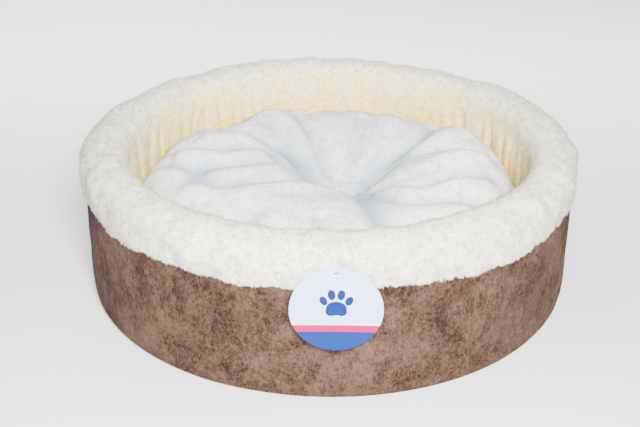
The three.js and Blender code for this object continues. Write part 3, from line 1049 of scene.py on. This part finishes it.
def inflate(o):
    """Lets the sewn shape settle as a filled cover: pressure rounds it out while the tuft at the middle is held."""
    n = len(o.data.vertices)
    co = np.empty(n * 3, np.float32)
    o.data.vertices.foreach_get("co", co)
    before = co.reshape(-1, 3).astype(float).copy()
    r = np.hypot(before[:, 0] - PIT[0] * MM, before[:, 1] - PIT[1] * MM)
    held = o.vertex_groups.new(name="held")
    hold = np.maximum(1 - smooth(0.004, 0.012, r), 0)
    for lo in np.linspace(0.1, 1.0, 10):
        ids = np.where((hold > lo - 0.05) & (hold <= lo + 0.05))[0]
        if len(ids):
            held.add([int(i) for i in ids], float(lo), "REPLACE")
    m = o.modifiers.new("cloth", "CLOTH")
    c = m.settings
    c.quality = 5
    c.mass = 0.12
    c.tension_stiffness = 30
    c.compression_stiffness = 30
    c.shear_stiffness = 12
    c.bending_stiffness = 0.6
    c.air_damping = 3
    c.use_pressure = True
    c.uniform_pressure_force = 2.2
    c.vertex_group_mass = "held"
    c.pin_stiffness = 1.0
    c.effector_weights.gravity = 0
    m.collision_settings.use_collision = False
    m.collision_settings.use_self_collision = False
    m.point_cache.frame_start, m.point_cache.frame_end = 1, 20
    sc = bpy.context.scene
    for f in range(1, 21):
        sc.frame_set(f)
    dg = bpy.context.evaluated_depsgraph_get()
    e = o.evaluated_get(dg)
    after = np.empty(n * 3, np.float32)
    e.data.vertices.foreach_get("co", after)
    after = after.reshape(-1, 3).astype(float)
    sc.frame_set(1)
    o.modifiers.remove(m)
    move = after - before
    dist = np.linalg.norm(move, axis=1)
    cap = 0.004
    move *= np.minimum(1, cap / (dist + 1e-12))[:, None]
    print("CLOTH moved mean %.2f max %.2f mm" % (dist.mean() * 1000, dist.max() * 1000))
    new = before + move
    o.data.vertices.foreach_set("co", new.astype(np.float32).ravel())
    o.data.update()


cushion = build_cushion()
inflate(cushion)


def finish_cushion(o):
    n = len(o.data.vertices)
    co = np.empty(n * 3, np.float32)
    o.data.vertices.foreach_get("co", co)
    co = co.reshape(-1, 3).astype(float) * 1000
    r = np.hypot(co[:, 0], co[:, 1])
    th = np.arctan2(co[:, 1], co[:, 0])
    # held in by the wall lining and the floor
    limit = 197.0
    new_r = np.where(r > limit - 6, limit - 6 + 6 * np.tanh((r - limit + 6) / 6), r)
    # edge seam, with short gathers beside it
    near = np.exp(-(((co[:, 2] - SEAM_Z) / 2.6) ** 2)) * (r > 180)
    gather = Ring(50, 110, 71, 0.3)(th) * np.exp(-(((co[:, 2] - SEAM_Z) / 16.0) ** 2)) * (r > 175)
    new_r = new_r - 3.6 * near + 0.55 * gather
    k = new_r / np.maximum(r, 1e-9)
    co[:, 0] *= k
    co[:, 1] *= k
    floor = 15.8
    z = co[:, 2]
    co[:, 2] = np.where(z < floor + 1.5, floor + 1.5 * np.exp((z - floor - 1.5) / 1.5), z)
    co[:, 2] = np.maximum(co[:, 2], floor)
    o.data.vertices.foreach_set("co", (co * MM).astype(np.float32).ravel())
    o.data.update()


finish_cushion(cushion)
cush_co = np.empty(len(cushion.data.vertices) * 3, np.float32)
cushion.data.vertices.foreach_get("co", cush_co)
# painted shade: each point keeps how deep it sits in a fold, to darken it in the material
mark_painted_fold_shade(cushion, painted_fold_shade_of(cush_co.reshape(-1, 3).astype(float)))
mat_cush, nt_cush, bsdf_cush, co_cush = plush_material(
    "cushion_backing", CUSH_LIGHT, CUSH_PAINTED_GAP_SHADE, CUSH_WARM, painted_fold_shade=CUSH_FOLD_PAINTED_SHADE
)
bump(nt_cush, bsdf_cush, noise(nt_cush, co_cush, 420, 3, 0.6), 0.5, 0.001)
mat_cpile, _, _, _ = plush_material("cushion_pile", CUSH_LIGHT, CUSH_PAINTED_GAP_SHADE, CUSH_WARM, painted_fold_shade=CUSH_FOLD_PAINTED_SHADE)
cushion.data.materials.append(mat_cush)
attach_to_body(cushion, "cushion")
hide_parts("cushion_top_cover", "cushion_bottom_cover", "cushion_filling")


def cushion_pile(name, count, cell, length, width, lean, rng, lo, hi, z_lo, z_hi):
    def mask(c):
        r = np.hypot(c[:, 0], c[:, 1])
        return ((r >= lo * MM) & (r < hi * MM) & (c[:, 2] >= z_lo * MM) & (c[:, 2] < z_hi * MM)).astype(float)

    pos, nor = sample_triangles(cushion, count, rng, cell * MM, mask)
    if len(pos) > 49500:
        pick = np.sort(rng.permutation(len(pos))[:49500])
        pos, nor = pos[pick], nor[pick]
    radial = pos * np.array([1, 1, 0.0])
    flow = unit(unit(radial) * 0.6 + np.array([0.15, -0.8, -0.1]))
    nap = unit(flow - nor * (flow * nor).sum(1)[:, None])
    lay = lay_of(pos, nor, nap, rng, math.radians(lean), 0.55, 0.5, 0.3)
    ln = lengths(pos, rng, length * MM, 0.14)
    wd = width * MM * (1 + 0.2 * rng.normal(size=len(pos))).clip(0.5, 1.6)
    o = pile(name, pos, nor, lay, ln, wd, rng, soft=0.8)
    # painted shade: the tufts keep the fold depth of where they stand
    mark_painted_fold_shade(o, np.repeat(painted_fold_shade_of(pos), 4))
    attach(o, cushion, mat_cpile)
    print("PILE", name, len(pos))
    return o


cushion_pile("pile_cushion_inner", 110000, 1.1, 2.8, 1.4, 68, np.random.default_rng(81), 0, 122, 60, 200)
cushion_pile("pile_cushion_outer", 120000, 1.25, 2.9, 1.5, 68, np.random.default_rng(82), 122, 220, 78, 200)
cushion_pile("pile_cushion_side", 60000, 2.0, 3.6, 2.2, 68, np.random.default_rng(83), 150, 220, 20, 78)
# where the cushion rests on the floor lining its pile is pressed flat, so no tufts stand there
cushion_pile("pile_cushion_under", 70000, 2.4, 3.4, 2.6, 72, np.random.default_rng(84), 0, 190, 18.5, 30)

# ------------------------------------------------------------------ hang tag

TAG = dict(x=7.5, y=-253.4, z=99.1, r=39.0, t=0.6, hx=7.5, hz=132.4, hr=2.0)


def build_tag():
    from mathutils.geometry import delaunay_2d_cdt

    pts, edges = [], []

    def loop(cx, cz, r, n):
        s = len(pts)
        for i in range(n):
            a = i / n * TAU
            pts.append(Vector((cx + r * math.cos(a), cz + r * math.sin(a))))
            edges.append((s + i, s + (i + 1) % n))

    loop(0, 0, TAG["r"], 160)
    loop(TAG["hx"] - TAG["x"], TAG["hz"] - TAG["z"], TAG["hr"], 28)
    loop(TAG["hx"] - TAG["x"], TAG["hz"] - TAG["z"], TAG["hr"] + 0.35, 28)
    loop(0, 0, TAG["r"] - 0.5, 160)
    for i in range(-16, 17):
        for j in range(-18, 19):
            x, z = i * 2.4 + (j % 2) * 1.2, j * 2.1
            if math.hypot(x, z) < TAG["r"] - 1.6 and math.hypot(x, z - 33.3) > 3.4:
                pts.append(Vector((x, z)))
    v, _, f, _, _, _ = delaunay_2d_cdt(pts, edges, [], 0, 1e-5)
    v = np.array([(p[0], p[1]) for p in v])
    keep = []
    for t in f:
        c = v[list(t)].mean(0)
        if math.hypot(*c) < TAG["r"] and math.hypot(c[0], c[1] - 33.3) > TAG["hr"] * 0.999:
            keep.append(tuple(t))
    x, z = v[:, 0], v[:, 1]
    rr = np.hypot(x, z)
    hole = np.hypot(x, z - 33.3)
    # the printed card has a faint curl, flat near its fastener
    curl = 0.9 * (x / 40) ** 2 + 0.7 * ((33.3 - z) / 70) ** 2 - 0.35 * (x / 40) * ((33.3 - z) / 70)
    thick = np.where((rr > TAG["r"] - 0.05) | (hole < TAG["hr"] + 0.05), TAG["t"] * 0.36, TAG["t"] * 0.5)
    n = len(v)
    base = np.stack([x + TAG["x"], np.full(n, TAG["y"]) - curl, z + TAG["z"]], 1)
    front, back = base.copy(), base.copy()
    front[:, 1] -= thick
    back[:, 1] += thick
    faces = []
    count = {}
    for a, b, c in keep:
        faces.append((a, b, c))
        faces.append((n + c, n + b, n + a))
        for e in ((a, b), (b, c), (c, a)):
            count[tuple(sorted(e))] = count.get(tuple(sorted(e)), 0) + 1
            count.setdefault(("dir",) + tuple(sorted(e)), e)
    for key, k in list(count.items()):
        if key[0] != "dir" and k == 1:
            a, b = count[("dir",) + key]
            faces.append((b, a, n + a, n + b))
    o = make_mesh("tag_card", np.concatenate([front, back]) * MM, faces)
    face_out(o)
    return o


def tag_material(name):
    """White card over a pink band over blue, with a plain paw mark; all in the card's own plane."""
    m, nt, bsdf = nodes_of(name, 0.5)
    bsdf.inputs["Specular IOR Level"].default_value = 0.08
    co = coords(nt)
    xyz = N(nt, "ShaderNodeSeparateXYZ")
    L(nt, co, xyz.inputs[0])
    X, Z = xyz.outputs[0], xyz.outputs[2]

    def below(z, soft=0.00012):
        return remap(nt, Z, (z * MM) - soft, (z * MM) + soft, 1.0, 0.0)

    def ellipse(cx, cz, rx, rz, turn=0.0):
        dx = math_node(nt, "ADD", X, -(TAG["x"] + cx) * MM)
        dz = math_node(nt, "ADD", Z, -(TAG["z"] + cz) * MM)
        ct, st = math.cos(turn), math.sin(turn)
        a = math_node(nt, "ADD", math_node(nt, "MULTIPLY", dx, ct), math_node(nt, "MULTIPLY", dz, st))
        b = math_node(nt, "ADD", math_node(nt, "MULTIPLY", dx, -st), math_node(nt, "MULTIPLY", dz, ct))
        a = math_node(nt, "POWER", math_node(nt, "MULTIPLY", a, 1 / (rx * MM)), 2)
        b = math_node(nt, "POWER", math_node(nt, "MULTIPLY", b, 1 / (rz * MM)), 2)
        d = math_node(nt, "SQRT", math_node(nt, "ADD", a, b))
        return remap(nt, d, 0.97, 1.03, 1.0, 0.0)

    fine = noise(nt, co, 900, 2)
    white = mix(nt, remap(nt, fine, 0.3, 0.7, 0, 1), TAG_WHITE, TAG_WHITE2)
    paw = None
    for e in (
        (0, 1.5, 8.6, 6.6), (-4.4, -1.2, 4.6, 4.6), (4.4, -1.2, 4.6, 4.6),
        (-10.6, 8.6, 3.1, 4.5, 0.45), (-4.0, 14.2, 3.2, 4.9, 0.12), (4.0, 14.2, 3.2, 4.9, -0.12), (10.6, 8.6, 3.1, 4.5, -0.45),
    ):
        k = ellipse(*e)
        paw = k if paw is None else math_node(nt, "MAXIMUM", paw, k)
    col = mix(nt, paw, white, TAG_BLUE_DEEP)
    col = mix(nt, below(TAG['z'] - 14.3), col, TAG_PINK)
    col = mix(nt, below(TAG['z'] - 20.6), col, TAG_BLUE)
    back = remap(nt, xyz.outputs[1], -0.2536, -0.2530, 0, 1)
    L(nt, col, bsdf.inputs["Base Color"])
    L(nt, remap(nt, fine, 0.3, 0.7, 0.32, 0.48), bsdf.inputs["Roughness"])
    bump(nt, bsdf, fine, 0.1, 0.0001)
    return m


TAG_WHITE = (0.56, 0.60, 0.96)
TAG_WHITE2 = (0.54, 0.58, 0.94)
TAG_PINK = (0.40, 0.002, 0.085)
TAG_BLUE = (0.008, 0.028, 0.175)
TAG_BLUE_DEEP = (0.005, 0.022, 0.14)

tag = build_tag()
tag.data.materials.append(tag_material("printed_card"))
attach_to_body(tag, "tag")
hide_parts("hang_tag")

# ------------------------------------------------------------------ CAD pieces that stay in view

mat_floor, nt_floor, bsdf_floor, co_floor = plush_material(
    "floor_plush", (0.93, 0.87, 0.62), (0.66, 0.58, 0.38), (0.92, 0.84, 0.54)
)
bump(nt_floor, bsdf_floor, noise(nt_floor, co_floor, 260, 4, 0.7), 0.9, 0.003)
CAD_MATS = {
    "base_cover": weave_material("nonslip", (0.05, 0.043, 0.038), (0.02, 0.018, 0.016), 900),
    "base_pad": foam_material("pad_foam"),
    "wall_foam": foam_material("ring_foam"),
    "floor_lining": mat_floor,
    "tuft_tie": weave_material("thread", (0.88, 0.87, 0.83), (0.7, 0.69, 0.64), 1500),
    "tag_tack": nylon_material("nylon"),
}
for name, mat in CAD_MATS.items():
    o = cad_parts[name]
    o.data.materials.clear()
    o.data.materials.append(mat)

# ------------------------------------------------------------------ floor, light, camera


def build_stage():
    n, half = 40, 8.0
    me = bpy.data.meshes.new("floor")
    bm = bmesh.new()
    bmesh.ops.create_grid(bm, x_segments=n, y_segments=n, size=half)
    bm.to_mesh(me)
    bm.free()
    floor = bpy.data.objects.new("floor", me)
    bpy.context.scene.collection.objects.link(floor)
    m, nt, bsdf = nodes_of("floor", 0.8)
    v = noise(nt, coords(nt), 3.0, 2)
    L(nt, mix(nt, remap(nt, v, 0.3, 0.7, 0, 1), (0.88, 0.88, 0.88), (0.9, 0.9, 0.9)), bsdf.inputs["Base Color"])
    me.materials.append(m)
    w = bpy.data.worlds.new("studio")
    w.use_nodes = True
    bg = w.node_tree.nodes["Background"]
    bg.inputs["Color"].default_value = (0.9, 0.96, 1.0, 1)
    bg.inputs["Strength"].default_value = WORLD
    bpy.context.scene.world = w

    def area(name, loc, target, size, power, colour=(1, 1, 1)):
        l = bpy.data.lights.new(name, "AREA")
        l.shape = "RECTANGLE"
        l.size, l.size_y = size
        l.energy = power
        l.color = colour
        o = bpy.data.objects.new(name, l)
        bpy.context.scene.collection.objects.link(o)
        o.location = loc
        d = Vector(target) - Vector(loc)
        o.rotation_euler = d.to_track_quat("-Z", "Y").to_euler()
        o.visible_camera = False

    area("key", (0.10, -1.14, 0.80), (0, 0, 0.08), (0.34, 0.24), KEY, (1.0, 0.985, 0.955))
    area("fill", (-1.5, -0.7, 1.2), (0, 0, 0.08), (1.2, 1.0), FILL, (0.96, 0.98, 1.0))
    area("top", (0.0, 0.3, 1.9), (0, 0, 0.1), (1.4, 1.4), TOP)
    area("back", (-0.7, 1.9, 1.1), (0, 0, 0.08), (1.4, 0.8), BACK)
    area("backdrop", (0.0, 0.5, 0.62), (0, 1.05, 0.12), (2.6, 0.25), BACKDROP)


WORLD, KEY, FILL, TOP, BACK, BACKDROP = 0.26, 82.0, 3.0, 2.0, 34.0, 28.0
build_stage()

cam_data = bpy.data.cameras.new("camera")
cam_data.sensor_width = 36
cam_data.lens = 62.6
cam = bpy.data.objects.new("camera", cam_data)
bpy.context.scene.collection.objects.link(cam)
where = Vector((0.0, -1.036052, 0.575962))
aim = Vector((-0.0087, 0.0, 0.0613))
fwd = (aim - where).normalized()
right = fwd.cross(Vector((0, 0, 1))).normalized()
up = right.cross(fwd)
roll = -0.009679
rx = right * math.cos(roll) - up * math.sin(roll)
uy = right * math.sin(roll) + up * math.cos(roll)
m = Matrix((rx, uy, -fwd)).transposed().to_4x4()
m.translation = where
cam.matrix_world = m
cam_data.clip_start, cam_data.clip_end = 0.05, 20
bpy.context.scene.camera = cam
